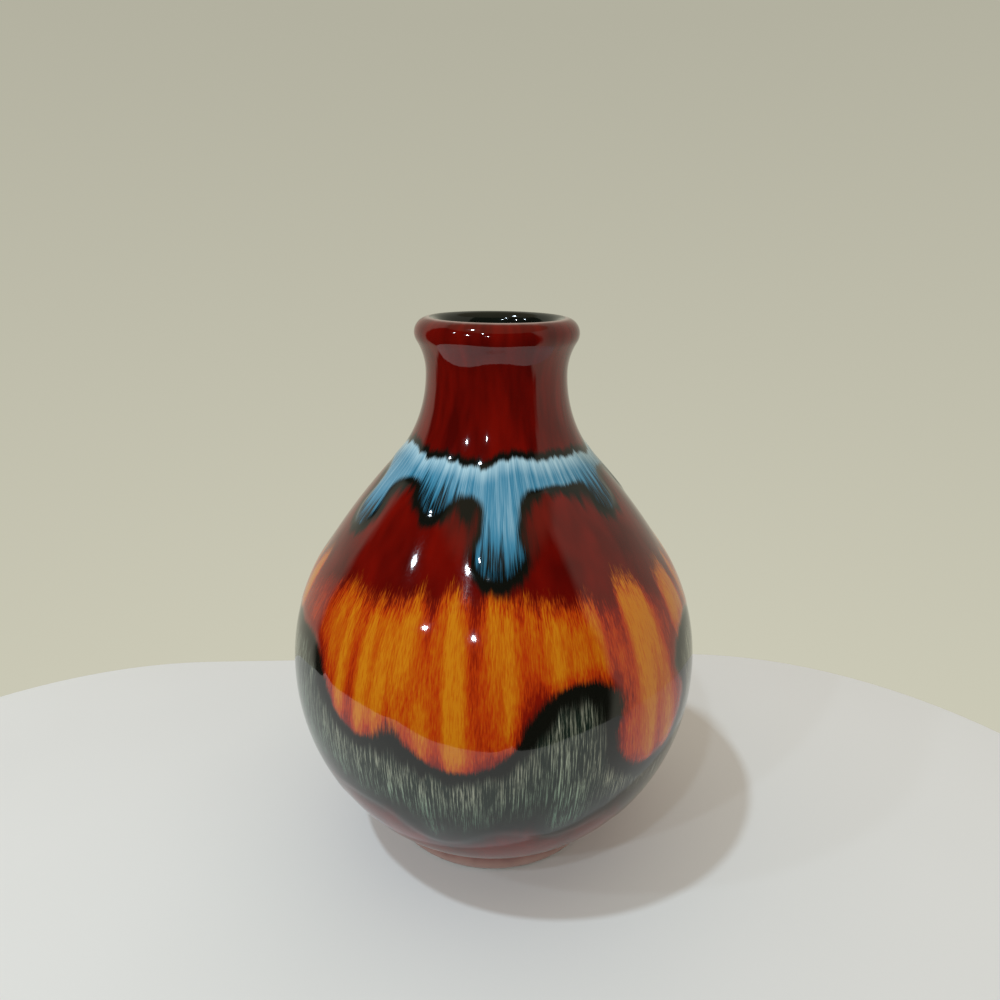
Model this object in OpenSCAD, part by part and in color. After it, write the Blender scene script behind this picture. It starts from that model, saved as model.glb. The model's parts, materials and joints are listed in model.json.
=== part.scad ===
// Pear-shaped bud vase: a fired clay vessel under separate coats of glaze.
// The axis is Z, the foot stands on Z = 0, and all sizes are in millimetres.

/* [Vessel] */
// Height from the foot to the top of the lip
height = 130; // [128:0.5:136]
// Radius of the belly at its widest
belly_r = 49.8; // [47:0.1:52]
// Height where the lower belly curve meets the short upright wall
belly_low_z = 46.9; // [44:0.1:47]
// Height where the upper belly curve leaves the short upright wall
belly_high_z = 47.5; // [47:0.1:50]
// Radius of the lower belly curve, seen from the side
lower_curve_r = 51.8; // [50:0.1:54]
// Radius of the upper belly curve, seen from the side
upper_curve_r = 49; // [47:0.1:51]
// Turn on the upper belly curve where the flatter shoulder curve starts, in degrees
shoulder_turn = 32.5; // [28:0.5:35]
// Radius of the shoulder curve, seen from the side
shoulder_curve_r = 167; // [140:1:190]

/* [Neck and lip] */
// Radius of the neck at its narrowest
neck_r = 16.25; // [15:0.05:17.5]
// Height of the narrowest part of the neck
neck_z = 117.9; // [116:0.1:119]
// Radius of the rolled lip at its widest
lip_r = 18.7; // [18.2:0.1:20]
// Radius of the roll on the lip's outer side
lip_round = 3.4; // [3:0.1:4]
// Radius of the roll on the lip's inner side
lip_inner_round = 2.6; // [2:0.1:3]
// Radius of the bore through the neck
bore_r = 12.4; // [11:0.1:12.6]

/* [Foot and walls] */
// Outer radius of the foot ring
foot_r = 28.3; // [26:0.1:30]
// Width of the foot ring where it stands
foot_ring_w = 4.8; // [4.4:0.1:6]
// Radius of the round under the foot ring's outer side, glaze included
foot_round = 2.8; // [2:0.1:3.2]
// How far down that round the glaze reaches, in degrees
glaze_turn = 40; // [20:1:50]
// Depth of the recess inside the foot ring
foot_recess = 2.6; // [2:0.1:3.5]
// Wall thickness of the belly, glaze included
belly_wall = 5; // [4:0.1:6]
// Thickness of the floor above the recess, glaze included
floor_t = 5.4; // [4:0.1:7]

/* [Glaze coats] */
// Thickness of the ground, liner and base coats
coat_t = 0.4; // [0.3:0.05:0.6]
// Thickness of the glaze runs that lie over the ground coat
run_t = 0.25; // [0.15:0.05:0.4]

/* [Glaze runs] */
// Number of blue runs below the collar at the foot of the neck
blue_runs = 9; // [7:1:11]
// Number of amber runs below the belt on the belly
amber_runs = 8; // [6:1:9]
// Number of green runs below the skirt over the foot
green_runs = 10; // [8:1:12]

/* [Hidden] */

curve_steps = 16;   // straight steps along each curve of the profile
$fn = 96;
reach = 68;         // further out than any part of the vase
run_from = 16;      // the runs' outlines are pushed outwards from here
run_to = 60;        // to here
recess_lean = 1.2;  // how far the recess narrows towards its ceiling
pool_gap = 1.6;     // bare clay between the base glaze and the foot ring
belt_web_z = 63;    // the amber belt ends here between its runs, and the green skirt starts

// Centres of the profile's curves, as [radius, height]
lower_centre = [belly_r - lower_curve_r, belly_low_z];
upper_centre = [belly_r - upper_curve_r, belly_high_z];
shoulder_centre = upper_centre
    - (shoulder_curve_r - upper_curve_r) * [cos(shoulder_turn), sin(shoulder_turn)];
lip_centre = [lip_r - lip_round, height - lip_round];
lip_inner_centre = [lip_centre[0], height - lip_inner_round];

foot_centre = [foot_r - foot_round, foot_round - coat_t];
foot_in_r = foot_r - foot_ring_w;
floor_z = foot_recess + floor_t;

// Radius of the neck curve that runs smoothly into a shoulder curve
function neck_curve(shoulder_r, narrow) =
    let (reach = narrow - shoulder_centre[0], rise = neck_z - shoulder_centre[1])
        (pow(reach, 2) + pow(rise, 2) - pow(shoulder_r, 2)) / (2 * (shoulder_r - reach));

// Angle where the shoulder curve meets the neck curve with this centre
function neck_turn(centre) = atan2(centre[1] - shoulder_centre[1], centre[0] - shoulder_centre[0]);

neck_curve_r = neck_curve(shoulder_curve_r, neck_r);
neck_centre = [neck_r + neck_curve_r, neck_z];
bore_curve_r = neck_curve(shoulder_curve_r - belly_wall, bore_r);
bore_centre = [bore_r + bore_curve_r, neck_z];

// Radius of the curve above the neck, which runs smoothly into the lip's outer roll
lip_offset = neck_r - lip_centre[0];
lip_rise = lip_centre[1] - neck_z;
throat_curve_r = (pow(lip_offset, 2) + pow(lip_rise, 2) - pow(lip_round, 2)) / (2 * (lip_round - lip_offset));
throat_centre = [neck_r + throat_curve_r, neck_z];
throat_turn = atan2(lip_centre[1] - throat_centre[1], lip_centre[0] - throat_centre[0]);

function arc(centre, r, from, to) =
    [for (i = [0 : curve_steps])
        let (a = from + (to - from) * i / curve_steps) centre + r * [cos(a), sin(a)]];

function reversed(points) = [for (i = [len(points) - 1 : -1 : 0]) points[i]];

// Angle on the lower belly curve where it meets the upright wall of the foot
function crease_turn(depth) = -acos((foot_r - depth - lower_centre[0]) / (lower_curve_r - depth));

// The outside from the foot's crease to the narrow neck, at a depth below the ground coat's surface
function side_outline(depth) = concat(
    arc(lower_centre, lower_curve_r - depth, crease_turn(depth), 0),
    arc(upper_centre, upper_curve_r - depth, 0, shoulder_turn),
    arc(shoulder_centre, shoulder_curve_r - depth, shoulder_turn, neck_turn(neck_centre)),
    arc(neck_centre, neck_curve_r + depth, 180 + neck_turn(neck_centre), 180));

// The outside of the throat and lip, from the narrow neck to the top of the lip
function lip_outline(depth) = concat(
    arc(throat_centre, throat_curve_r + depth, 180, throat_turn),
    arc(lip_centre, lip_round - depth, throat_turn - 180, 90));

function outside(depth) = concat(side_outline(depth), lip_outline(depth));

// Angle on the cavity's lower curve where it meets the floor, at a depth behind the liner's surface
function floor_turn(depth) = -asin((belly_low_z - floor_z + depth) / (lower_curve_r - belly_wall + depth));

// The cavity from the top of the lip down to the middle of the floor
function cavity(depth) = concat(
    arc(lip_inner_centre, lip_inner_round - depth, 90, 180),
    arc(bore_centre, bore_curve_r - depth, 180, 180 + neck_turn(bore_centre)),
    arc(shoulder_centre, shoulder_curve_r - belly_wall + depth, neck_turn(bore_centre), shoulder_turn),
    arc(upper_centre, upper_curve_r - belly_wall + depth, shoulder_turn, 0),
    arc(lower_centre, lower_curve_r - belly_wall + depth, 0, floor_turn(depth)),
    [[0, floor_z - depth]]);

module turned(points) {
    rotate_extrude() polygon(points);
}

// The fired vessel itself, bare only on its foot ring and in the gap round the base glaze
module clay_body() {
    color("#d9cdb8")
        turned(concat(
            [[foot_in_r, 0]],
            arc(foot_centre, foot_round - coat_t, -90, 0),
            outside(coat_t),
            cavity(coat_t),
            [[0, foot_recess], [foot_in_r - recess_lean, foot_recess]]));
}

// Oxblood coat over the outside, from the foot ring to the top of the lip
module ground_glaze() {
    color("#6e100b")
        turned(concat(
            arc(foot_centre, foot_round, -glaze_turn, 0),
            outside(0),
            reversed(outside(coat_t)),
            arc(foot_centre, foot_round - coat_t, 0, -glaze_turn)));
}

// Green-black coat over the inside, from the top of the lip to the floor
module liner_glaze() {
    color("#16211b")
        turned(concat(cavity(0), reversed(cavity(coat_t))));
}

// Pool of glaze in the recess under the floor, clear of the foot ring
module base_glaze() {
    color("#6e100b")
        translate([0, 0, foot_recess - coat_t])
            cylinder(r = foot_in_r - recess_lean - pool_gap, h = coat_t);
}

// Thin layer over the ground coat, from which each colour's shape is taken
module run_layer() {
    turned(concat(side_outline(-run_t), reversed(side_outline(0))));
}

// Even but irregular swing from -1 to 1 for the run with this number
function swing(i, phase) = sin(i * 137.5 + phase);

// One run: a strip that swells into a round drop at tip_z
module run(w, tip_z, top_z) {
    strip_w = 0.82 * w;
    drop_z = tip_z + w / 2;
    translate([run_from, 0, 0])
        rotate([90, 0, 90])
            linear_extrude(height = run_to - run_from) {
                translate([-strip_w / 2, drop_z]) square([strip_w, top_z - drop_z]);
                translate([0, drop_z]) circle(d = w);
            }
}

// A plain band round the vase
module band(low_z, high_z) {
    translate([0, 0, low_z]) cylinder(r = reach, h = high_z - low_z);
}

// A ring of runs, each with its own place, width and length
module ring_of_runs(count, top_z, tip_z, tip_swing, w, w_swing, phase) {
    for (i = [0 : count - 1])
        rotate([0, 0, (i + 0.22 * swing(i, phase + 40)) * 360 / count])
            run(w + w_swing * swing(i, phase + 200), tip_z + tip_swing * swing(i, phase), top_z);
}

module blue_shape() {
    band(96.5, 102);
    ring_of_runs(blue_runs, 101, 87, 5.5, 8.6, 1.4, 15);
}

module amber_run_shapes() {
    ring_of_runs(amber_runs, 78, 45, 7, 21, 3.5, 70);
}

module amber_shape() {
    band(belt_web_z, 79);
    amber_run_shapes();
}

module green_shape() {
    band(30, belt_web_z);
    ring_of_runs(green_runs, 46, 22.6, 4.5, 15, 2.5, 120);
}

module blue_glaze_collar() {
    color("#6fb1dc") intersection() {
        run_layer();
        blue_shape();
    }
}

module amber_glaze_belt() {
    color("#d9760f") intersection() {
        run_layer();
        amber_shape();
    }
}

// The green coat fills round the amber runs that reach down into it
module green_glaze_skirt() {
    color("#2f4a40") difference() {
        intersection() {
            run_layer();
            green_shape();
        }
        amber_run_shapes();
    }
}

clay_body();
ground_glaze();
liner_glaze();
base_glaze();
blue_glaze_collar();
amber_glaze_belt();
green_glaze_skirt();
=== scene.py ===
"""Bud vase with run glazes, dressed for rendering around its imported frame.

The vase stands on Z = 0 with its axis on Z. The viewpoint lies towards -Y.
"""

import json
import math

import bpy
import numpy as np
from mathutils import Matrix, Vector

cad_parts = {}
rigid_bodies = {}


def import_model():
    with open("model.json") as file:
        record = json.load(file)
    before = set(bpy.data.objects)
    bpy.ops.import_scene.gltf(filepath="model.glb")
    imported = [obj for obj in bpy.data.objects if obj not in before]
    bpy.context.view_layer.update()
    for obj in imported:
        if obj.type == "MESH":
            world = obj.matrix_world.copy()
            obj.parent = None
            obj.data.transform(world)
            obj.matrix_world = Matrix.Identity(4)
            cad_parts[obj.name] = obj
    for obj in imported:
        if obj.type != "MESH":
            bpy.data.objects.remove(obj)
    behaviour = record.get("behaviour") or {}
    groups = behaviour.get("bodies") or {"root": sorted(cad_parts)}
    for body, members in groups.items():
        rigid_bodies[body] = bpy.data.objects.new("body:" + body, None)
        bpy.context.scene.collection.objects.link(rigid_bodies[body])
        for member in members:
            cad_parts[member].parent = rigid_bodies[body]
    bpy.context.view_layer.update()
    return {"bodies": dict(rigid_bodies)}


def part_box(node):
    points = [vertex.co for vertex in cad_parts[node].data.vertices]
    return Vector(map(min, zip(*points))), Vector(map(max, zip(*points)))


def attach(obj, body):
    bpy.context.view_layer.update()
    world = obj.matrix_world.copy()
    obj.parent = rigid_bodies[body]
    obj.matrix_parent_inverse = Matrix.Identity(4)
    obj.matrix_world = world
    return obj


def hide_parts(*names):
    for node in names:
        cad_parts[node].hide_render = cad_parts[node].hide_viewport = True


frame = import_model()

bl_info = {
    "name": "Bud Vase",
    "version": (1, 0, 0),
    "blender": (4, 5, 0),
    "location": "View3D > Sidebar > Vase",
    "description": "Turns a glazed bud vase and sets it on a white table",
    "category": "Object",
}

(BODY,) = frame["bodies"]
IMAGE_SIDE = 1000     # pixels that the focal length is counted in
SENSOR_WIDTH = 36.0   # millimetres


def mm(value):
    """Millimetres as metres."""
    return value * 0.001


def linear(code):
    """An sRGB hex colour as linear red, green and blue."""
    channels = [int(code[i:i + 2], 16) / 255 for i in (1, 3, 5)]
    return tuple(c / 12.92 if c <= 0.04045 else ((c + 0.055) / 1.055) ** 2.4 for c in channels)


def length(name, value, description):
    """A length property, given in millimetres."""
    return bpy.props.FloatProperty(
        name=name, description=description, default=mm(value), min=0, precision=4, unit="LENGTH")


def colour(name, code, description):
    """A colour property, given as an sRGB hex value."""
    return bpy.props.FloatVectorProperty(
        name=name, description=description, default=linear(code), min=0, max=1, size=3, subtype="COLOR")


class VaseShape(bpy.types.PropertyGroup):
    """Sizes of the vessel and its coats."""

    height: length("Height", 130, "From the foot to the top of the lip")
    belly_r: length("Belly radius", 49.8, "Radius of the belly at its widest")
    belly_low: length("Lower belly", 46.9, "Height where the lower belly curve ends")
    belly_high: length("Upper belly", 47.5, "Height where the upper belly curve starts")
    lower_curve: length("Lower curve", 51.8, "Radius of the lower belly curve, seen from the side")
    upper_curve: length("Upper curve", 49, "Radius of the upper belly curve, seen from the side")
    shoulder_turn: bpy.props.FloatProperty(
        name="Shoulder turn", description="Turn on the upper curve where the flatter shoulder starts",
        default=math.radians(32.5), subtype="ANGLE")
    shoulder_curve: length("Shoulder curve", 167, "Radius of the shoulder curve, seen from the side")
    neck_r: length("Neck radius", 16.25, "Radius of the neck at its narrowest")
    neck_z: length("Neck height", 117.9, "Height of the narrowest part of the neck")
    lip_r: length("Lip radius", 18.7, "Radius of the rolled lip at its widest")
    lip_roll: length("Lip roll", 3.4, "Radius of the roll on the lip's outer side")
    lip_inner_roll: length("Inner lip roll", 2.6, "Radius of the roll on the lip's inner side")
    bore_r: length("Bore radius", 12.4, "Radius of the bore through the neck")
    foot_r: length("Foot radius", 28.3, "Outer radius of the foot ring")
    foot_ring: length("Foot ring width", 4.8, "Width of the foot ring where it stands")
    foot_ease: length("Foot ease", 0.4, "Bevel on the foot ring's inner edge")
    foot_recess: length("Foot recess", 2.6, "Depth of the recess inside the foot ring")
    recess_lean: length("Recess lean", 1.2, "How far the recess narrows towards its ceiling")
    foot_round: length("Foot round", 2.8, "Radius of the round under the foot ring's outer side")
    glaze_turn: bpy.props.FloatProperty(
        name="Glaze turn", description="How far down the foot's round the glaze reaches",
        default=math.radians(40), subtype="ANGLE")
    wall: length("Belly wall", 5, "Wall thickness of the belly, glaze included")
    floor: length("Floor", 5.4, "Thickness of the floor above the recess, glaze included")
    coat: length("Coat", 0.4, "Thickness of the ground, liner and base coats")
    relief: length("Run relief", 0.25, "How far the runs stand above the ground coat")
    crease: length("Foot crease", 0.7, "Radius of the glaze that fills the crease above the foot")


class GlazeRuns(bpy.types.PropertyGroup):
    """Places of the three run glazes."""

    blue_count: bpy.props.IntProperty(
        name="Blue runs", description="Runs below the blue collar", default=9, min=1)
    amber_count: bpy.props.IntProperty(
        name="Amber runs", description="Runs below the amber belt", default=8, min=1)
    green_count: bpy.props.IntProperty(
        name="Green runs", description="Runs below the green skirt", default=10, min=1)
    blue_top: length("Blue top", 102, "Height where the blue collar starts")
    blue_web: length("Blue web", 96.5, "Height of the collar's edge between its runs")
    amber_top: length("Amber top", 79, "Height where the amber belt starts")
    amber_web: length("Amber web", 63, "Height of the belt's edge between its runs")
    green_web: length("Green web", 30, "Height of the skirt's edge between its runs")


class GlazeColours(bpy.types.PropertyGroup):
    """Colours of the glazes and the clay."""

    red: colour("Oxblood", "#700902", "Ground coat")
    red_dark: colour("Dark oxblood", "#4a0301", "Ground coat where it has pooled")
    # Thin oxblood is the coat where it thins at its ends; at the foot its pale tone is also partly a
    # painted reflection of the white table
    red_thin: colour("Thin oxblood", "#a68880", "Ground coat where it thins at its edges")
    honey: colour("Honey", "#c67a11", "Palest fibres of the amber belt")
    amber: colour("Amber", "#ba5b09", "Pale bands of the amber belt")
    orange: colour("Orange", "#b03607", "Dark bands of the amber belt")
    ember: colour("Ember", "#7c1405", "Amber belt along its edges")
    frost: colour("Frost blue", "#abd0df", "Upper edge of the blue collar")
    sky: colour("Sky blue", "#3b84a6", "Main colour of the blue collar")
    deep_blue: colour("Deep blue", "#205873", "Blue collar towards the tips of its runs")
    black: colour("Black", "#0d0f0b", "Where two glazes meet and turn black")
    green: colour("Bottle green", "#17251f", "Green skirt between its hairs")
    sea: colour("Sea green", "#80a791", "Hairs low in the green skirt")
    ash: colour("Ash", "#a9ae9c", "Hairs high in the green skirt")
    liner: colour("Liner", "#141c16", "Green-black glaze of the inside")
    clay: colour("Biscuit clay", "#cbb49c", "Bare clay of the foot ring")


class Studio(bpy.types.PropertyGroup):
    """Camera, lamps and table."""

    camera_place: bpy.props.FloatVectorProperty(
        name="Camera place", description="Where the camera stands",
        default=(mm(1.1), mm(-172.9), mm(145)), size=3, subtype="TRANSLATION")
    camera_pitch: bpy.props.FloatProperty(
        name="Camera pitch", description="How far the camera looks down",
        default=math.radians(18.69), subtype="ANGLE")
    camera_roll: bpy.props.FloatProperty(
        name="Camera roll", description="How far the camera leans to its side",
        default=math.radians(0.65), subtype="ANGLE")
    focal_pixels: bpy.props.FloatProperty(
        name="Focal length", description="Focal length in pixels of the image", default=751, min=1)
    table_from: bpy.props.FloatVectorProperty(
        name="Table from", description="Left front corner of the table top, before it is rounded",
        default=(mm(-209), mm(-145)), size=2, subtype="TRANSLATION")
    table_to: bpy.props.FloatVectorProperty(
        name="Table to", description="Right back corner of the table top, before it is rounded",
        default=(mm(179), mm(74.3)), size=2, subtype="TRANSLATION")
    table_turn: bpy.props.FloatProperty(
        name="Table turn", description="How far the table is turned under the vase",
        default=math.radians(3.1), subtype="ANGLE")
    table_corner: length("Table corner", 109, "Radius of the table's corners")
    table_depth: length("Table depth", 18, "Thickness of the table top")
    table_edge: length("Table edge", 1.5, "Radius of the round along the table's edges")
    table: colour("Table", "#e3e5e4", "White laminate of the table")
    wall: colour("Wall", "#cbc9b6", "Plain wall behind the table")
    wall_high: colour("Wall high up", "#b3b1a0", "Plain wall where less light reaches it")
    room: colour("Room", "#2e2822", "Dim room in front of the table")
    ceiling: colour("Ceiling", "#897e68", "Ceiling of the room")
    soft: colour("Soft light", "#c9bcac", "Light that the room spreads over the table")
    lamp: colour("Lamps", "#d9eaf6", "Light of the lamps")


def put(tree, kind, wires=(), out=None, stops=None, **settings):
    """Add a node with its settings and links, and return one of its outputs.

    wires fills the shown inputs in order, or those that a dict names, with sockets or values.
    stops are the places and colours of a colour ramp, between its own two, which are removed.
    """
    new = tree.nodes.new(kind)
    for name, value in settings.items():
        setattr(new, name, value)
    for place, shade in stops or ():
        element = new.color_ramp.elements.new(place)
        element.color = shade
    if stops:
        new.color_ramp.elements.remove(new.color_ramp.elements[0])
        new.color_ramp.elements.remove(new.color_ramp.elements[-1])
    shown = [socket for socket in new.inputs if socket.enabled]
    pairs = wires.items() if isinstance(wires, dict) else enumerate(wires)
    for name, source in pairs:
        socket = new.inputs[name] if isinstance(name, str) else shown[name]
        if isinstance(source, bpy.types.NodeSocket):
            tree.links.new(source, socket)
        else:
            socket.default_value = source
    if out:
        return new.outputs[out]
    return next((socket for socket in new.outputs if socket.enabled), None)


def new_material(name):
    """An empty node material and its tree."""
    material = bpy.data.materials.new(name)
    material.use_nodes = True
    material.node_tree.nodes.clear()
    return material, material.node_tree


class Pen:
    """Draws a profile in the XZ plane, one line or curve after another, as [radius, height]."""

    same_point = mm(0.01)            # ends closer than this need no line between them
    largest_turn = math.radians(9)   # of one step on an arc
    merge_gap = mm(0.003)            # points closer than this become one after the spin
    smooth_below = math.radians(40)  # edges flatter than this are shaded smooth

    def __init__(self, name, start, pitch):
        bpy.ops.object.select_all(action="DESELECT")
        bpy.ops.mesh.primitive_plane_add(size=mm(1))
        self.piece = bpy.context.object
        self.piece.name = name
        self.piece.data.name = name
        bpy.ops.object.mode_set(mode="EDIT")
        bpy.ops.mesh.select_all(action="SELECT")
        bpy.ops.mesh.merge(type="CENTER")
        bpy.ops.transform.translate(value=(start[0], 0, start[1]))
        self.tip = Vector(start)
        self.pitch = pitch

    def line(self, *end):
        """Draw a straight line to a radius and height, in steps of about the pen's pitch."""
        way = Vector(end) - self.tip
        steps = math.ceil(way.length / self.pitch)
        for _ in range(steps):
            bpy.ops.mesh.extrude_region_move(
                TRANSFORM_OT_translate={"value": (way.x / steps, 0, way.y / steps)})
        self.tip = Vector(end)

    def arc(self, centre, radius, start, end):
        """Draw a line to the start of an arc, and then the arc."""
        begin = on_circle(centre, radius, start)
        if (begin - self.tip).length > self.same_point:
            self.line(*begin)
        turn = end - start
        steps = math.ceil(max(abs(turn) * radius / self.pitch, abs(turn) / self.largest_turn))
        bpy.ops.mesh.spin(steps=steps, angle=turn, center=(centre[0], 0, centre[1]), axis=(0, 1, 0))
        self.tip = on_circle(centre, radius, end)

    def follow(self, arcs):
        """Draw a row of arcs, joined by straight lines."""
        for one in arcs:
            self.arc(*one)

    def points(self):
        """The points drawn so far as radius and height, from the lowest up."""
        bpy.ops.object.mode_set(mode="OBJECT")
        found = np.array([(v.co.x, v.co.z) for v in self.piece.data.vertices])
        bpy.ops.object.mode_set(mode="EDIT")
        return found[np.argsort(found[:, 1], kind="stable")]

    def turn_solid(self, steps):
        """Spin the closed profile round the Z axis."""
        bpy.ops.mesh.select_all(action="SELECT")
        bpy.ops.mesh.spin(steps=steps, angle=math.tau, center=(0, 0, 0), axis=(0, 0, 1))
        bpy.ops.mesh.select_all(action="SELECT")
        bpy.ops.mesh.remove_doubles(threshold=self.merge_gap)
        bpy.ops.mesh.normals_make_consistent(inside=False)
        bpy.ops.object.mode_set(mode="OBJECT")
        bpy.ops.object.shade_smooth_by_angle(angle=self.smooth_below)
        return self.piece


def on_circle(centre, radius, turn):
    """The point at an angle on a circle, as [radius, height]."""
    return Vector(centre) + radius * Vector((math.cos(turn), math.sin(turn)))


class Profile:
    """Centres and radii of the vase's curves, worked out from its sizes as in the solid model."""

    def __init__(self, shape):
        self.shape = shape
        self.lower = Vector((shape.belly_r - shape.lower_curve, shape.belly_low))
        self.upper = Vector((shape.belly_r - shape.upper_curve, shape.belly_high))
        spare = shape.shoulder_curve - shape.upper_curve
        self.shoulder = on_circle(self.upper, -spare, shape.shoulder_turn)
        self.lip = Vector((shape.lip_r - shape.lip_roll, shape.height - shape.lip_roll))
        self.lip_inner = Vector((self.lip.x, shape.height - shape.lip_inner_roll))
        self.floor_z = shape.foot_recess + shape.floor
        self.foot = Vector((shape.foot_r - shape.foot_round, shape.foot_round - shape.coat))
        self.foot_in = shape.foot_r - shape.foot_ring
        self.neck_curve = self.neck_radius(shape.shoulder_curve, shape.neck_r)
        self.neck = Vector((shape.neck_r + self.neck_curve, shape.neck_z))
        self.bore_curve = self.neck_radius(shape.shoulder_curve - shape.wall, shape.bore_r)
        self.bore = Vector((shape.bore_r + self.bore_curve, shape.neck_z))
        offset = shape.neck_r - self.lip.x
        rise = self.lip.y - shape.neck_z
        throat = (offset ** 2 + rise ** 2 - shape.lip_roll ** 2) / (2 * (shape.lip_roll - offset))
        self.throat_curve = throat
        self.throat = Vector((shape.neck_r + throat, shape.neck_z))
        self.throat_turn = math.atan2(rise, self.lip.x - self.throat.x)

    def neck_radius(self, shoulder_curve, narrow):
        """Radius of the neck curve that runs smoothly into a shoulder curve."""
        reach = narrow - self.shoulder.x
        rise = self.shape.neck_z - self.shoulder.y
        return (reach ** 2 + rise ** 2 - shoulder_curve ** 2) / (2 * (shoulder_curve - reach))

    def neck_turn(self, centre):
        """Angle where the shoulder curve meets the neck curve with this centre."""
        return math.atan2(centre.y - self.shoulder.y, centre.x - self.shoulder.x)

    def crease_turn(self, depth):
        """Angle on the lower belly curve where it meets the foot's upright wall."""
        return -math.acos((self.shape.foot_r - depth - self.lower.x) / (self.shape.lower_curve - depth))

    def outside(self, depth, start):
        """Arcs of the outside, at a depth in the wall.

        They run from an angle on the lower curve to the top of the lip.
        """
        shape = self.shape
        leave = self.neck_turn(self.neck)
        return [
            (self.lower, shape.lower_curve - depth, start, 0),
            (self.upper, shape.upper_curve - depth, 0, shape.shoulder_turn),
            (self.shoulder, shape.shoulder_curve - depth, shape.shoulder_turn, leave),
            (self.neck, self.neck_curve + depth, math.pi + leave, math.pi),
            (self.throat, self.throat_curve + depth, math.pi, self.throat_turn),
            (self.lip, shape.lip_roll - depth, self.throat_turn - math.pi, math.pi / 2)]

    def inside(self, depth):
        """Arcs of the inside from the top of the lip to the floor, at a depth behind its surface."""
        shape = self.shape
        inset = depth - shape.wall
        lower = shape.lower_curve + inset
        drop = shape.belly_low - self.floor_z + depth
        meet = self.neck_turn(self.bore)
        return [
            (self.lip_inner, shape.lip_inner_roll - depth, math.pi / 2, math.pi),
            (self.bore, self.bore_curve - depth, math.pi, math.pi + meet),
            (self.shoulder, shape.shoulder_curve + inset, meet, shape.shoulder_turn),
            (self.upper, shape.upper_curve + inset, shape.shoulder_turn, 0),
            (self.lower, lower, 0, -math.asin(drop / lower))]


def backwards(arcs):
    """The same arcs, drawn the other way."""
    return [(centre, radius, end, start) for centre, radius, start, end in reversed(arcs)]


def swing(i, phase):
    """Even but irregular swing from -1 to 1 for the run with this number."""
    return math.sin(math.radians(i * 137.5 + phase))


def smooth_max(a, b, width):
    """The larger of two fields, rounded where they are within width of each other."""
    share = np.clip(0.5 + 0.5 * (a - b) / width, 0, 1)
    return b + (a - b) * share + width * share * (1 - share)


def soft_step(value, low, high):
    """0 below low and 1 above high, with a soft step between them."""
    share = np.clip((value - low) / (high - low), 0, 1)
    return share * share * (3 - 2 * share)


class Wall:
    """Where each point of a turned piece lies on the outside wall."""

    skin = mm(0.15)     # points less than this behind the drawn profile are on the outer face
    stray = 0.22        # how far a run strays from its even place, as a share of the gap
    waist = 0.82        # width of a run above its drop, as a share of the drop's
    sway = 0.06         # how far the edges wander, as a share of a run's width
    swell = 0.08        # how far a run's width changes on its way, as a share of it
    bead_melt = mm(2)   # over which a drop runs into the strip above it

    def __init__(self, piece, drawn):
        points = np.empty(len(piece.data.vertices) * 3, "f")
        piece.data.vertices.foreach_get("co", points)
        self.points = points.reshape(-1, 3).astype(float)
        self.drawn = drawn
        self.climbs = np.concatenate([[0], np.cumsum(np.hypot(*np.diff(drawn, axis=0).T))])
        self.radius = np.hypot(self.points[:, 0], self.points[:, 1])
        self.angle = np.arctan2(self.points[:, 1], self.points[:, 0])
        self.up = self.climb(self.points[:, 2])

    def climb(self, height):
        """How far up the wall a height lies, along its surface."""
        return np.interp(height, self.drawn[:, 1], self.climbs)

    def outer(self):
        """1 for the points on the outer face of the coat, and 0 for those behind it."""
        surface = np.interp(self.points[:, 2], self.drawn[:, 1], self.drawn[:, 0])
        return (self.radius > surface - self.skin).astype(float)

    def wave(self, count, height):
        """A slow, uneven wave round the wall, with its height in millimetres."""
        overtone = 0.6 * np.sin((2 * count + 1) * self.angle + 1)
        return mm(height) * (np.sin(count * self.angle) + overtone)

    def run_depth(self, count, web, tip, tip_swing, width, width_swing, phase, melt):
        """How far inside a band and its runs each point lies, and how far above the tip of its run.

        Points outside are below 0. The sizes of the runs are in millimetres. The corners between
        the band and its runs are filled over the distance melt.
        """
        depth = self.up - self.climb(web) + self.wave(3, self.sway * width)
        lift = np.zeros_like(depth)
        shares = np.full_like(depth, 1e-6)
        for i in range(count):
            turn = math.tau * (i + self.stray * swing(i, phase + 40)) / count
            off = (self.angle - turn + math.pi) % math.tau - math.pi
            drift = mm(self.sway * width) * np.sin(self.up / mm(9) + 2.4 * i)
            aside = np.abs(self.radius * off + drift)
            half = mm(width + width_swing * swing(i, phase + 200)) / 2
            half = half * (1 + self.swell * np.sin(self.up / mm(6) + 1.7 * i))
            above = self.up - self.climb(mm(tip + tip_swing * swing(i, phase)))
            strip = np.minimum(self.waist * half - aside, above - half)
            bead = half - np.hypot(aside, above - half)
            depth = smooth_max(depth, smooth_max(strip, bead, self.bead_melt), mm(melt))
            share = np.exp(-np.square(aside / half) / 4)
            lift += share * above
            shares += share
        return depth, lift / shares


def keep_field(piece, name, values):
    """Store one number, or one vector, per point of a piece."""
    kind = "FLOAT" if values.ndim == 1 else "FLOAT_VECTOR"
    layer = piece.data.attributes.new(name, kind, "POINT")
    layer.data.foreach_set("value" if values.ndim == 1 else "vector", values.astype("f").ravel())


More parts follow.
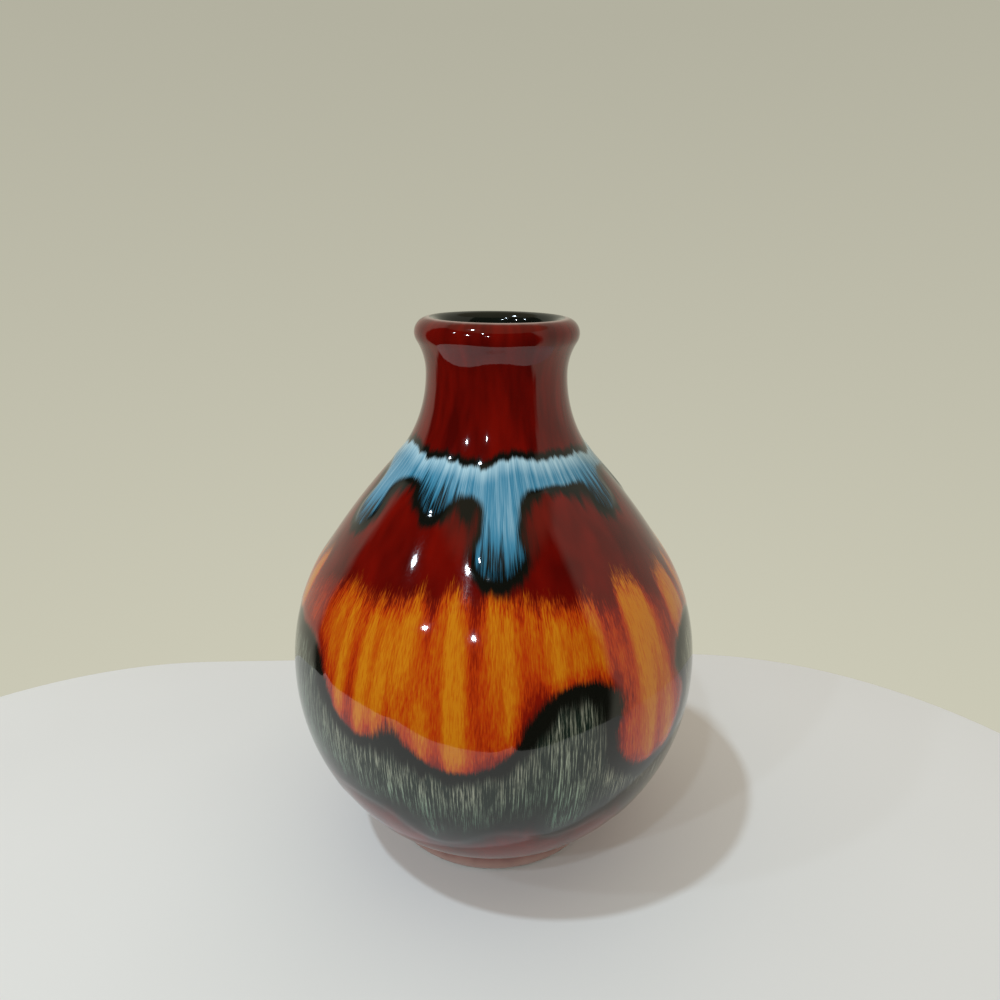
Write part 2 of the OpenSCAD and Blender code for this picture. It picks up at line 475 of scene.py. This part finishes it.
def lay_runs(piece, drawn, runs, relief):
    """Raise the runs on the outer face, and store in millimetres where each glaze lies."""
    wall = Wall(piece, drawn)
    blue, blue_tip = wall.run_depth(
        runs.blue_count, runs.blue_web, tip=87, tip_swing=5.5, width=8.6, width_swing=1.4,
        phase=15, melt=5)
    amber, _ = wall.run_depth(
        runs.amber_count, runs.amber_web, tip=45, tip_swing=7, width=21, width_swing=3.5,
        phase=70, melt=12)
    green, _ = wall.run_depth(
        runs.green_count, runs.green_web, tip=22.6, tip_swing=4.5, width=15, width_swing=2.5,
        phase=120, melt=10)
    blue_top = wall.climb(runs.blue_top) - wall.up + wall.wave(4, 0.7)
    amber_top = wall.climb(runs.amber_top) - wall.up + wall.wave(3, 2)
    # The coat is thin along its two ends, over four times as much of the wall at the foot, where the
    # paler colour is partly a painted reflection of the table
    rim = np.minimum(wall.up / 4, wall.climbs[-1] - wall.up)

    # Each run rises over a soft edge, and its coat thins out towards the top
    edge = (mm(-0.8), mm(1.4))
    rise = soft_step(blue, *edge) * soft_step(blue_top, 0, mm(4))
    rise = np.maximum(rise, soft_step(amber, *edge) * soft_step(amber_top, 0, mm(9)))
    rise = np.maximum(rise, 0.6 * soft_step(green, *edge) * soft_step(amber_top, mm(9), mm(16)))
    normals = np.empty(wall.points.size, "f")
    piece.data.vertices.foreach_get("normal", normals)
    moved = wall.points + normals.reshape(-1, 3) * (rise * relief * wall.outer())[:, None]
    piece.data.vertices.foreach_set("co", moved.astype("f").ravel())
    piece.data.update()

    # A round of the belly and the way up the wall, so that a pattern hangs down it without a seam
    girth = mm(49)
    flow = np.stack([girth * np.cos(wall.angle), girth * np.sin(wall.angle), wall.up], axis=1)
    fields = {"flow": flow, "blue": blue, "blue_tip": blue_tip, "blue_top": blue_top,
              "amber": amber, "amber_top": amber_top, "green": green, "rim": rim}
    for name, values in fields.items():
        keep_field(piece, name, values / mm(1))


# In the coats below, the numbers beside a stored field are millimetres on the wall, and those
# beside a noise say how far it moves an edge or a tone.


def ground_coat(tree, field, shade):
    """Colour of the red ground coat: clouded where it is thicker, and paler at its thin ends, which at
    the foot is partly a painted reflection of the table.
    """
    cloud = put(tree, "ShaderNodeMapRange", (field["wander"], -0.2, 0.2))
    red = put(tree, "ShaderNodeMix", (cloud, shade["red"], shade["red_dark"]), data_type="RGBA")
    # Paler towards the thin ends; at the foot the paler colour is partly a painted reflection of the
    # table
    thin = put(tree, "ShaderNodeMath", (field["wander"], 0.8, field["rim"]), operation="MULTIPLY_ADD")
    thin = put(tree, "ShaderNodeMapRange", (thin, 1.5, 0.2), interpolation_type="SMOOTHSTEP")
    return put(tree, "ShaderNodeMix", (thin, red, shade["red_thin"]), data_type="RGBA")


def green_skirt(tree, field, shade, under):
    """Colour of the green skirt: near black, with hairs from ash to sea green down the wall."""
    edge = put(tree, "ShaderNodeMath", (field["wander"], 8.0, field["green"]), operation="MULTIPLY_ADD")
    edge = put(tree, "ShaderNodeMath", (field["lock"], 7.0, edge), operation="MULTIPLY_ADD")
    dark = put(tree, "ShaderNodeMapRange", (edge, -4.0, 2.5), interpolation_type="SMOOTHSTEP")
    below = put(tree, "ShaderNodeMapRange", (field["amber_top"], 9.0, 14.0),
                interpolation_type="SMOOTHSTEP")
    dark = put(tree, "ShaderNodeMath", (dark, below), operation="MULTIPLY")
    black = put(tree, "ShaderNodeMix", (dark, under, shade["black"]), data_type="RGBA")
    heart = put(tree, "ShaderNodeMapRange", (edge, 2.0, 10.0), interpolation_type="SMOOTHSTEP")
    clear = put(tree, "ShaderNodeMath", (field["streak"], 9.0, field["amber"]), operation="MULTIPLY_ADD")
    clear = put(tree, "ShaderNodeMapRange", (clear, -1.2, -4.5), interpolation_type="SMOOTHSTEP")
    heart = put(tree, "ShaderNodeMath", (heart, clear), operation="MULTIPLY")
    bottle = put(tree, "ShaderNodeMix", (heart, black, shade["green"]), data_type="RGBA")
    fine = put(tree, "ShaderNodeMath", (field["fibre"], 0.4, field["hair"]), operation="MULTIPLY_ADD")
    hairs = put(tree, "ShaderNodeMapRange", (fine, -0.05, 0.22), interpolation_type="SMOOTHSTEP")
    thick = put(tree, "ShaderNodeMapRange", (field["sheet"], -0.2, 0.15, 0.35, 1.0))
    hairs = put(tree, "ShaderNodeMath", (hairs, thick), operation="MULTIPLY")
    hairs = put(tree, "ShaderNodeMath", (hairs, heart), operation="MULTIPLY")
    low = put(tree, "ShaderNodeMapRange", (field["amber"], -4.0, -16.0), interpolation_type="SMOOTHSTEP")
    tint = put(tree, "ShaderNodeMix", (low, shade["ash"], shade["sea"]), data_type="RGBA")
    return put(tree, "ShaderNodeMix", (hairs, bottle, tint), data_type="RGBA")


def amber_belt(tree, field, shade, under):
    """Colour of the amber belt: orange and amber bands in short fibres, with a black rim below."""
    edge = put(tree, "ShaderNodeMath", (field["wander"], 4.0, field["amber"]), operation="MULTIPLY_ADD")
    edge = put(tree, "ShaderNodeMath", (field["fibre"], 2.0, edge), operation="MULTIPLY_ADD")
    top = put(tree, "ShaderNodeMath", (field["sheet"], 16.0, field["amber_top"]),
              operation="MULTIPLY_ADD")
    top = put(tree, "ShaderNodeMath", (field["fibre"], 10.0, top), operation="MULTIPLY_ADD")
    feather = put(tree, "ShaderNodeMapRange", (top, 0.0, 5.0), interpolation_type="SMOOTHSTEP")
    rough = put(tree, "ShaderNodeMath", (field["lock"], 8.0, edge), operation="MULTIPLY_ADD")
    halo = put(tree, "ShaderNodeMapRange", (rough, -4.6, -1.0), interpolation_type="SMOOTHSTEP")
    halo = put(tree, "ShaderNodeMath", (halo, feather), operation="MULTIPLY")
    rimmed = put(tree, "ShaderNodeMix", (halo, under, shade["black"]), data_type="RGBA")
    body = put(tree, "ShaderNodeMapRange", (edge, -0.5, 1.2), interpolation_type="SMOOTHSTEP")
    body = put(tree, "ShaderNodeMath", (body, feather), operation="MULTIPLY")
    tone = put(tree, "ShaderNodeMapRange", (field["sheet"], -0.1, 0.12, 0.12, 0.94))
    tone = put(tree, "ShaderNodeMath", (field["streak"], 0.5, tone), operation="MULTIPLY_ADD")
    tone = put(tree, "ShaderNodeMath", (field["fibre"], 1.0, tone), operation="MULTIPLY_ADD")
    inner = put(tree, "ShaderNodeMapRange", (edge, 0.0, 4.0, -0.4, 0.0), interpolation_type="SMOOTHSTEP")
    tone = put(tree, "ShaderNodeMath", (tone, inner), operation="ADD")
    upper = put(tree, "ShaderNodeMapRange", (top, 1.0, 9.0, -0.35, 0.0), interpolation_type="SMOOTHSTEP")
    tone = put(tree, "ShaderNodeMath", (tone, upper), operation="ADD")
    flame = put(tree, "ShaderNodeValToRGB", (tone,), stops=(
        (0.05, shade["ember"]), (0.4, shade["orange"]), (0.7, shade["amber"]), (0.98, shade["honey"])))
    return put(tree, "ShaderNodeMix", (body, rimmed, flame), data_type="RGBA")


def blue_collar(tree, field, shade, under):
    """Colour of the blue collar: frosted above, rimmed with black, with hairs at its tips."""
    edge = put(tree, "ShaderNodeMath", (field["wander"], 2.0, field["blue"]), operation="MULTIPLY_ADD")
    edge = put(tree, "ShaderNodeMath", (field["hair"], 1.5, edge), operation="MULTIPLY_ADD")
    top = put(tree, "ShaderNodeMath", (field["lock"], 4.0, field["blue_top"]), operation="MULTIPLY_ADD")
    top = put(tree, "ShaderNodeMath", (field["hair"], 1.5, top), operation="MULTIPLY_ADD")
    rough = put(tree, "ShaderNodeMath", (field["lock"], 7.0, edge), operation="MULTIPLY_ADD")
    halo = put(tree, "ShaderNodeMapRange", (rough, -3.4, -0.9), interpolation_type="SMOOTHSTEP")
    above = put(tree, "ShaderNodeMapRange", (top, -2.2, -0.5), interpolation_type="SMOOTHSTEP")
    halo = put(tree, "ShaderNodeMath", (halo, above), operation="MULTIPLY")
    rimmed = put(tree, "ShaderNodeMix", (halo, under, shade["black"]), data_type="RGBA")
    body = put(tree, "ShaderNodeMapRange", (edge, -0.2, 1.0), interpolation_type="SMOOTHSTEP")
    feather = put(tree, "ShaderNodeMapRange", (top, 0.0, 1.2), interpolation_type="SMOOTHSTEP")
    body = put(tree, "ShaderNodeMath", (body, feather), operation="MULTIPLY")
    solid = put(tree, "ShaderNodeMath", (field["streak"], 40.0, field["blue_tip"]),
                operation="MULTIPLY_ADD")
    solid = put(tree, "ShaderNodeMapRange", (solid, 3.0, 10.0), interpolation_type="SMOOTHSTEP")
    hairs = put(tree, "ShaderNodeMapRange", (field["hair"], -0.02, 0.16, 0.0, 0.75),
                interpolation_type="SMOOTHSTEP")
    cover = put(tree, "ShaderNodeMath", (solid, hairs), operation="MAXIMUM")
    cover = put(tree, "ShaderNodeMath", (cover, body), operation="MULTIPLY")
    tone = put(tree, "ShaderNodeMath", (field["streak"], 0.8, 0.1), operation="MULTIPLY_ADD")
    tone = put(tree, "ShaderNodeMath", (field["hair"], 0.6, tone), operation="MULTIPLY_ADD")
    depth = put(tree, "ShaderNodeMapRange", (field["blue_tip"], 0.0, 12.0, 0.0, 0.4),
                interpolation_type="SMOOTHSTEP")
    tone = put(tree, "ShaderNodeMath", (tone, depth), operation="ADD")
    frost = put(tree, "ShaderNodeMapRange", (top, 5.0, 0.0, 0.0, 0.4), interpolation_type="SMOOTHSTEP")
    tone = put(tree, "ShaderNodeMath", (tone, frost), operation="ADD")
    frosted = put(tree, "ShaderNodeValToRGB", (tone,), stops=(
        (0.05, shade["deep_blue"]), (0.45, shade["sky"]), (0.95, shade["frost"])))
    return put(tree, "ShaderNodeMix", (cover, rimmed, frosted), data_type="RGBA")


def run_glaze(colours):
    """Reactive gloss glaze: colours poured over each other and fired until they run.

    The eye sees a wet, glassy skin. Colour hangs in fine hairs down the wall, turns black where two
    glazes meet, and pales where the coat is thin, which at the foot is also a painted reflection of the
    table.
    """
    material, tree = new_material("Reactive gloss glaze")
    shade = {name: (*getattr(colours, name), 1) for name in GlazeColours.__annotations__}
    field = {name: put(tree, "ShaderNodeAttribute", out="Fac", attribute_name=name)
             for name in ("blue", "blue_tip", "blue_top", "amber", "amber_top", "green", "rim")}

    # Noise over the wall, centred on 0, by the width and length of its features in millimetres.
    # Fibres and hairs are drawn coarser than they are, so that they show.
    flow = put(tree, "ShaderNodeAttribute", out="Vector", attribute_name="flow")
    for name, wide, long, detail in (
            ("fibre", 0.294, 2.5, 2),
            ("hair", 0.25, 8.33, 2),
            ("streak", 2, 28.6, 3),
            ("lock", 5, 20, 2),
            ("sheet", 7.69, 100, 1),
            ("wander", 11.1, 16.7, 2),
            ("speck", 0.714, 0.909, 2)):
        spread = put(tree, "ShaderNodeVectorMath", (flow, (wide, wide, long)), operation="DIVIDE")
        noise = put(tree, "ShaderNodeTexNoise", {
            "Vector": spread, "Scale": 1, "Detail": detail, "Roughness": 0.6})
        field[name] = put(tree, "ShaderNodeMath", (noise, 0.5), operation="SUBTRACT")

    surface = ground_coat(tree, field, shade)
    for coat in (green_skirt, amber_belt, blue_collar):
        surface = coat(tree, field, shade, surface)
    ripple = put(tree, "ShaderNodeBump", {
        "Height": field["wander"], "Strength": 1, "Distance": mm(0.08)})
    gloss = put(tree, "ShaderNodeMapRange", (field["speck"], -0.3, 0.3, 0.03, 0.08))
    skin = put(tree, "ShaderNodeBsdfPrincipled", {
        "Base Color": surface, "Roughness": gloss, "IOR": 1.55, "Normal": ripple})
    put(tree, "ShaderNodeOutputMaterial", (skin,))
    return material


def pooled_glaze(name, thick, thin):
    """Gloss glaze poured in one colour: a glassy skin that clouds slightly where it has pooled."""
    material, tree = new_material(name)
    place = put(tree, "ShaderNodeTexCoord", out="Object")
    cloud = put(tree, "ShaderNodeTexNoise", {
        "Vector": place, "Scale": 1 / mm(9), "Detail": 4, "Roughness": 0.6})
    share = put(tree, "ShaderNodeMapRange", (cloud, 0.35, 0.65))
    surface = put(tree, "ShaderNodeMix", (share, (*thick, 1), (*thin, 1)), data_type="RGBA")
    ripple = put(tree, "ShaderNodeBump", {"Height": cloud, "Strength": 1, "Distance": mm(0.05)})
    skin = put(tree, "ShaderNodeBsdfPrincipled", {
        "Base Color": surface, "Roughness": 0.07, "IOR": 1.55, "Normal": ripple})
    put(tree, "ShaderNodeOutputMaterial", (skin,))
    return material


def biscuit_clay(clay):
    """Fired earthenware, ground flat on the foot: matt, gritty and stained, with faint tool rings.

    The grit is drawn coarser than it is, so that it shows.
    """
    material, tree = new_material("Biscuit earthenware")
    place = put(tree, "ShaderNodeTexCoord", out="Object")
    grit = put(tree, "ShaderNodeTexNoise", {
        "Vector": place, "Scale": 1 / mm(0.5), "Detail": 3, "Roughness": 0.7})
    stain = put(tree, "ShaderNodeTexNoise", {
        "Vector": place, "Scale": 1 / mm(6), "Detail": 3, "Roughness": 0.6})
    # At a scale of 1 the wave has a ring every tau / 20
    ring_gap = mm(5.03)
    rings = put(tree, "ShaderNodeTexWave", {
        "Vector": place, "Scale": math.tau / 20 / ring_gap, "Distortion": 1, "Detail": 2}, out="Fac",
        wave_type="RINGS", rings_direction="Z")
    dirt = put(tree, "ShaderNodeMath", (grit, stain), operation="MULTIPLY")
    share = put(tree, "ShaderNodeMapRange", (dirt, 0.15, 0.4))
    dusty = tuple(c * 0.62 for c in clay)
    surface = put(tree, "ShaderNodeMix", (share, (*dusty, 1), (*clay, 1)), data_type="RGBA")
    coarse = put(tree, "ShaderNodeMath", (rings, 0.6, grit), operation="MULTIPLY_ADD")
    rough = put(tree, "ShaderNodeBump", {"Height": coarse, "Strength": 0.6, "Distance": mm(0.05)})
    skin = put(tree, "ShaderNodeBsdfPrincipled", {
        "Base Color": surface, "Roughness": 0.85, "IOR": 1.5, "Normal": rough})
    put(tree, "ShaderNodeOutputMaterial", (skin,))
    return material


def white_laminate(white):
    """Melamine laminate of a table top: satin white, with a broad and faint mottle."""
    material, tree = new_material("White table laminate")
    place = put(tree, "ShaderNodeTexCoord", out="Object")
    mottle = put(tree, "ShaderNodeTexNoise", {
        "Vector": place, "Scale": 1 / mm(120), "Detail": 2, "Roughness": 0.5})
    share = put(tree, "ShaderNodeMapRange", (mottle, 0.3, 0.7))
    shaded = tuple(c * 0.96 for c in white)
    surface = put(tree, "ShaderNodeMix", (share, (*white, 1), (*shaded, 1)), data_type="RGBA")
    skin = put(tree, "ShaderNodeBsdfPrincipled", {
        "Base Color": surface, "Roughness": 0.55, "IOR": 1.45})
    put(tree, "ShaderNodeOutputMaterial", (skin,))
    return material


def hand_over(piece, material, slot, *nodes):
    """Give a piece its material, and let it stand for its nodes on the vase's body."""
    piece.data.materials.clear()
    piece.data.materials.append(material)
    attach(piece, BODY)
    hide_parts(*nodes)


class VASE_OT_clay_body(bpy.types.Operator):
    """Turn the fired clay vessel that the glazes cover"""

    bl_idname = "vase.clay_body"
    bl_label = "Clay Body"

    def execute(self, context):
        shape = context.scene.vase_shape
        profile = Profile(shape)
        ease = shape.foot_ease
        pen = Pen("clay_vessel", (profile.foot_in + ease, 0), pitch=mm(2.5))
        pen.arc(profile.foot, shape.foot_round - shape.coat, -math.pi / 2, 0)
        pen.follow(profile.outside(shape.coat, profile.crease_turn(shape.coat)))
        pen.follow(profile.inside(shape.coat))
        pen.line(0, profile.floor_z - shape.coat)
        pen.line(0, shape.foot_recess)
        pen.line(profile.foot_in - shape.recess_lean, shape.foot_recess)
        pen.line(profile.foot_in, ease)
        pen.line(profile.foot_in + ease, 0)
        piece = pen.turn_solid(steps=192)
        hand_over(piece, biscuit_clay(context.scene.vase_colours.clay), "biscuit_clay", "clay_body")
        return {"FINISHED"}


class VASE_OT_outer_glaze(bpy.types.Operator):
    """Turn the coat over the outside and lay the run glazes on it"""

    bl_idname = "vase.outer_glaze"
    bl_label = "Outer Glaze"

    def execute(self, context):
        shape = context.scene.vase_shape
        profile = Profile(shape)
        half = shape.coat / 2
        low = -shape.glaze_turn
        under = shape.foot_round - shape.coat
        pen = Pen("outer_glaze", on_circle(profile.foot, shape.foot_round, low), pitch=mm(0.85))
        pen.arc(profile.foot, shape.foot_round, low, 0)
        # The glaze in the crease is a fillet between the foot's upright wall and the lower curve
        fillet_r = shape.foot_r + shape.crease
        drop = math.sqrt((shape.lower_curve + shape.crease) ** 2 - (fillet_r - profile.lower.x) ** 2)
        fillet = Vector((fillet_r, shape.belly_low - drop))
        meet = math.atan2(drop, profile.lower.x - fillet_r)
        pen.arc(fillet, shape.crease, math.pi, meet)
        pen.follow(profile.outside(0, meet - math.pi))
        drawn = pen.points()
        # The back of the coat lies on the clay, so its steps are longer
        pen.pitch = mm(3)
        pen.line(profile.lip.x, shape.height - shape.coat)
        pen.follow(backwards(profile.outside(shape.coat, profile.crease_turn(shape.coat))))
        pen.arc(profile.foot, under, 0, low)
        pen.arc(on_circle(profile.foot, under + half, low), half, low - math.pi, low)
        piece = pen.turn_solid(steps=320)
        lay_runs(piece, drawn, context.scene.vase_runs, shape.relief)
        hand_over(piece, run_glaze(context.scene.vase_colours), "oxblood_glaze",
                  "ground_glaze", "blue_glaze_collar", "amber_glaze_belt", "green_glaze_skirt")
        return {"FINISHED"}


class VASE_OT_liner_glaze(bpy.types.Operator):
    """Turn the dark coat over the inside"""

    bl_idname = "vase.liner_glaze"
    bl_label = "Liner Glaze"

    def execute(self, context):
        shape = context.scene.vase_shape
        profile = Profile(shape)
        pen = Pen("liner_glaze_coat", (profile.lip.x, shape.height), pitch=mm(1.2))
        pen.follow(profile.inside(0))
        pen.line(0, profile.floor_z)
        # The back of the coat lies on the clay, so its steps are longer
        pen.pitch = mm(4)
        pen.line(0, profile.floor_z - shape.coat)
        pen.follow(backwards(profile.inside(shape.coat)))
        pen.line(profile.lip.x, shape.height)
        piece = pen.turn_solid(steps=192)
        colours = context.scene.vase_colours
        material = pooled_glaze("Green-black liner glaze", colours.liner, colours.black)
        hand_over(piece, material, "liner_glaze", "liner_glaze")
        return {"FINISHED"}


class VASE_OT_base_glaze(bpy.types.Operator):
    """Turn the pool of glaze in the recess under the floor"""

    bl_idname = "vase.base_glaze"
    bl_label = "Base Glaze"

    def execute(self, context):
        shape = context.scene.vase_shape
        half = shape.coat / 2
        pool_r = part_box("base_glaze")[1][0] - half
        pen = Pen("base_glaze_pool", (0, shape.foot_recess), pitch=mm(2))
        pen.arc((pool_r, shape.foot_recess - half), half, math.pi / 2, -math.pi / 2)
        pen.line(0, shape.foot_recess - shape.coat)
        piece = pen.turn_solid(steps=128)
        colours = context.scene.vase_colours
        material = pooled_glaze("Oxblood base glaze", colours.red, colours.red_dark)
        hand_over(piece, material, "oxblood_glaze", "base_glaze")
        return {"FINISHED"}


class VASE_OT_stage(bpy.types.Operator):
    """Set the vase on a white table, and add the camera and lamps"""

    bl_idname = "vase.stage"
    bl_label = "Stage"

    def execute(self, context):
        studio = context.scene.vase_studio
        self.add_table(studio)
        self.add_camera(context.scene, studio)
        self.add_world(context.scene, studio)
        self.add_lamps(studio.lamp)
        context.scene.view_settings.view_transform = "Standard"
        return {"FINISHED"}

    def add_table(self, studio):
        """Add the table top, with rounded corners and turned a little under the vase."""
        (left, front), (right, back) = studio.table_from, studio.table_to
        bpy.ops.object.select_all(action="DESELECT")
        bpy.ops.mesh.primitive_plane_add(size=1)
        table = bpy.context.object
        table.name = "table"
        bpy.ops.object.mode_set(mode="EDIT")
        bpy.ops.mesh.select_all(action="SELECT")
        bpy.ops.transform.resize(value=(right - left, back - front, 1))
        bpy.ops.transform.translate(value=((left + right) / 2, (front + back) / 2, 0))
        bpy.ops.mesh.bevel(offset=studio.table_corner, segments=24, affect="VERTICES")
        bpy.ops.mesh.select_all(action="SELECT")
        bpy.ops.mesh.extrude_region_move(TRANSFORM_OT_translate={"value": (0, 0, -studio.table_depth)})
        bpy.ops.mesh.select_all(action="SELECT")
        # With no window the operator turns the other way
        bpy.ops.transform.rotate(value=-studio.table_turn, orient_axis="Z", center_override=(0, 0, 0))
        bpy.ops.mesh.normals_make_consistent(inside=False)
        bpy.ops.object.mode_set(mode="OBJECT")
        rounding = table.modifiers.new("Rounded edge", "BEVEL")
        rounding.width = studio.table_edge
        rounding.segments = 4
        bpy.ops.object.modifier_apply(modifier=rounding.name)
        bpy.ops.object.shade_smooth_by_angle(angle=math.radians(30))
        table.data.materials.append(white_laminate(studio.table))

    def add_camera(self, scene, studio):
        """Add the camera at its place, with its pitch and roll."""
        camera = bpy.data.cameras.new("Camera")
        camera.sensor_width = SENSOR_WIDTH
        camera.lens = studio.focal_pixels * SENSOR_WIDTH / IMAGE_SIDE
        camera.clip_start = mm(5)
        holder = bpy.data.objects.new("Camera", camera)
        scene.collection.objects.link(holder)
        tilt = Matrix.Rotation(math.pi / 2 - studio.camera_pitch, 4, "X")
        roll = Matrix.Rotation(studio.camera_roll, 4, "Z")
        holder.matrix_world = Matrix.Translation(studio.camera_place) @ tilt @ roll
        scene.camera = holder

    def add_world(self, scene, studio):
        """Surround the table with a plain wall, and let the glaze mirror a dim room and its ceiling."""
        world = bpy.data.worlds.new("Room")
        scene.world = world
        world.use_nodes = True
        tree = world.node_tree
        tree.nodes.clear()
        heading = put(tree, "ShaderNodeTexCoord", out="Generated")
        height = put(tree, "ShaderNodeSeparateXYZ", (heading,), out="Z")
        fall = put(tree, "ShaderNodeMapRange", (height, -0.5, 0.24))
        wall = put(tree, "ShaderNodeMix", (fall, (*studio.wall, 1), (*studio.wall_high, 1)),
                   data_type="RGBA")
        room_side = (-0.42, -0.91, 0.0)
        ahead = put(tree, "ShaderNodeVectorMath", (heading, room_side), out="Value",
                    operation="DOT_PRODUCT")
        dim = put(tree, "ShaderNodeMapRange", (ahead, -0.02, 0.1), interpolation_type="SMOOTHSTEP")
        around = put(tree, "ShaderNodeMix", (dim, wall, (*studio.room, 1)), data_type="RGBA")
        over = put(tree, "ShaderNodeMapRange", (height, 0.72, 0.8), interpolation_type="SMOOTHSTEP")
        around = put(tree, "ShaderNodeMix", (over, around, (*studio.ceiling, 1)), data_type="RGBA")
        mirrored = put(tree, "ShaderNodeLightPath", out="Is Glossy Ray")
        shown = put(tree, "ShaderNodeMix", (mirrored, (*studio.soft, 1), around), data_type="RGBA")
        seen = put(tree, "ShaderNodeLightPath", out="Is Camera Ray")
        shown = put(tree, "ShaderNodeMix", (seen, shown, wall), data_type="RGBA")
        light = put(tree, "ShaderNodeBackground", {"Color": shown, "Strength": 1})
        put(tree, "ShaderNodeOutputWorld", (light,))

    def add_lamps(self, tint):
        """Add the key lamp, which casts the shadow, and the spots that the gloss mirrors."""
        middle = Vector((0, 0, mm(60)))
        # Each lamp by its turn from the camera's side and its height, in degrees round the middle of
        # the vase, and by its distance and width in metres and its power in watts
        for name, turn, height, distance, width, power in (
                ("Key", -62, 65.5, 3.2, 0.148, 34.4),
                ("Ceiling spot far left", -67, 38, 1.4, 0.06, 1.4),
                ("Ceiling spot left", -43, 31, 1.4, 0.05, 1.9),
                ("Ceiling spot front", -23, 48, 1.4, 0.06, 2.1),
                ("Ceiling spot middle", -12, 31, 1.4, 0.05, 1.9)):
            lamp = bpy.data.lights.new(name, "AREA")
            lamp.shape = "DISK"
            lamp.size = width
            lamp.energy = power
            lamp.color = tint
            holder = bpy.data.objects.new(name, lamp)
            bpy.context.scene.collection.objects.link(holder)
            turn = math.radians(turn)
            height = math.radians(height)
            level = math.cos(height)
            aim = Vector((math.sin(turn) * level, -math.cos(turn) * level, math.sin(height)))
            facing = aim.to_track_quat("Z", "Y").to_matrix().to_4x4()
            holder.matrix_world = Matrix.Translation(aim * distance + middle) @ facing


class VASE_PT_panel(bpy.types.Panel):
    """Sizes, colours and steps of the vase"""

    bl_idname = "VASE_PT_panel"
    bl_label = "Bud Vase"
    bl_space_type = "VIEW_3D"
    bl_region_type = "UI"
    bl_category = "Vase"

    def draw(self, context):
        for group in GROUPS:
            box = self.layout.box()
            settings = getattr(context.scene, group)
            for name in settings.__annotations__:
                box.prop(settings, name)
        for step in STEPS:
            self.layout.operator(step.bl_idname)


STEPS = (VASE_OT_clay_body, VASE_OT_outer_glaze, VASE_OT_liner_glaze, VASE_OT_base_glaze, VASE_OT_stage)
CLASSES = (VaseShape, GlazeRuns, GlazeColours, Studio, *STEPS, VASE_PT_panel)
GROUPS = {
    "vase_shape": VaseShape,
    "vase_runs": GlazeRuns,
    "vase_colours": GlazeColours,
    "vase_studio": Studio,
}


def register():
    for one in CLASSES:
        bpy.utils.register_class(one)
    for name, group in GROUPS.items():
        setattr(bpy.types.Scene, name, bpy.props.PointerProperty(type=group))


def unregister():
    for name in GROUPS:
        delattr(bpy.types.Scene, name)
    for one in reversed(CLASSES):
        bpy.utils.unregister_class(one)


def main():
    register()
    bpy.ops.vase.clay_body()
    bpy.ops.vase.outer_glaze()
    bpy.ops.vase.liner_glaze()
    bpy.ops.vase.base_glaze()
    bpy.ops.vase.stage()


if __name__ == "__main__":
    main()
